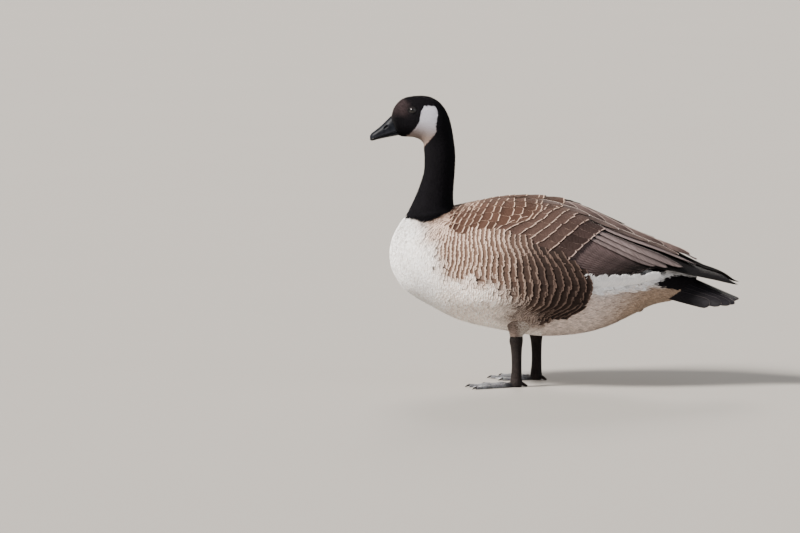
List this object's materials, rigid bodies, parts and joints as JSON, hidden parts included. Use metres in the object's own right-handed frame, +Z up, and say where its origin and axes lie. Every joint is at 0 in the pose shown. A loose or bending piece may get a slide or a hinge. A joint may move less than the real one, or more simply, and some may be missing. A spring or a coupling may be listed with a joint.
{
  "type": "canada goose",
  "caption": "Life-size standing goose with folded wings, long black neck, white cheek patch, webbed feet and a short fanned tail.",
  "frame": {"origin": "on the floor, midway between the bill's tip and the tail's tip and between the two sides", "axes": "+Z up; the goose faces -Y and its tail points along +Y; its left side is +X"},
  "size_m": [0.2218, 0.6378, 0.4961],
  "materials": {
    "black_plumage": "glossy black feathers",
    "bill": "black horn",
    "eye": "polished dark brown",
    "body_plumage": "soft barred feathers",
    "wing_plumage": "brown feathers with pale edges",
    "tail_plumage": "black feathers",
    "leg_skin": "dark scaled skin",
    "white_plumage": "white feathers"
  },
  "bodies": {
    "root": {"head": "black_plumage", "neck": "black_plumage", "bill_upper": "bill", "bill_lower": "bill", "eye_left": "eye", "eye_right": "eye", "torso": "body_plumage", "wing_left": "wing_plumage", "wing_right": "wing_plumage", "tail": "tail_plumage", "thigh_left": "body_plumage", "thigh_right": "body_plumage", "leg_left": "leg_skin", "leg_right": "leg_skin", "foot_left": "leg_skin", "foot_right": "leg_skin"}
  },
  "joints": []
}
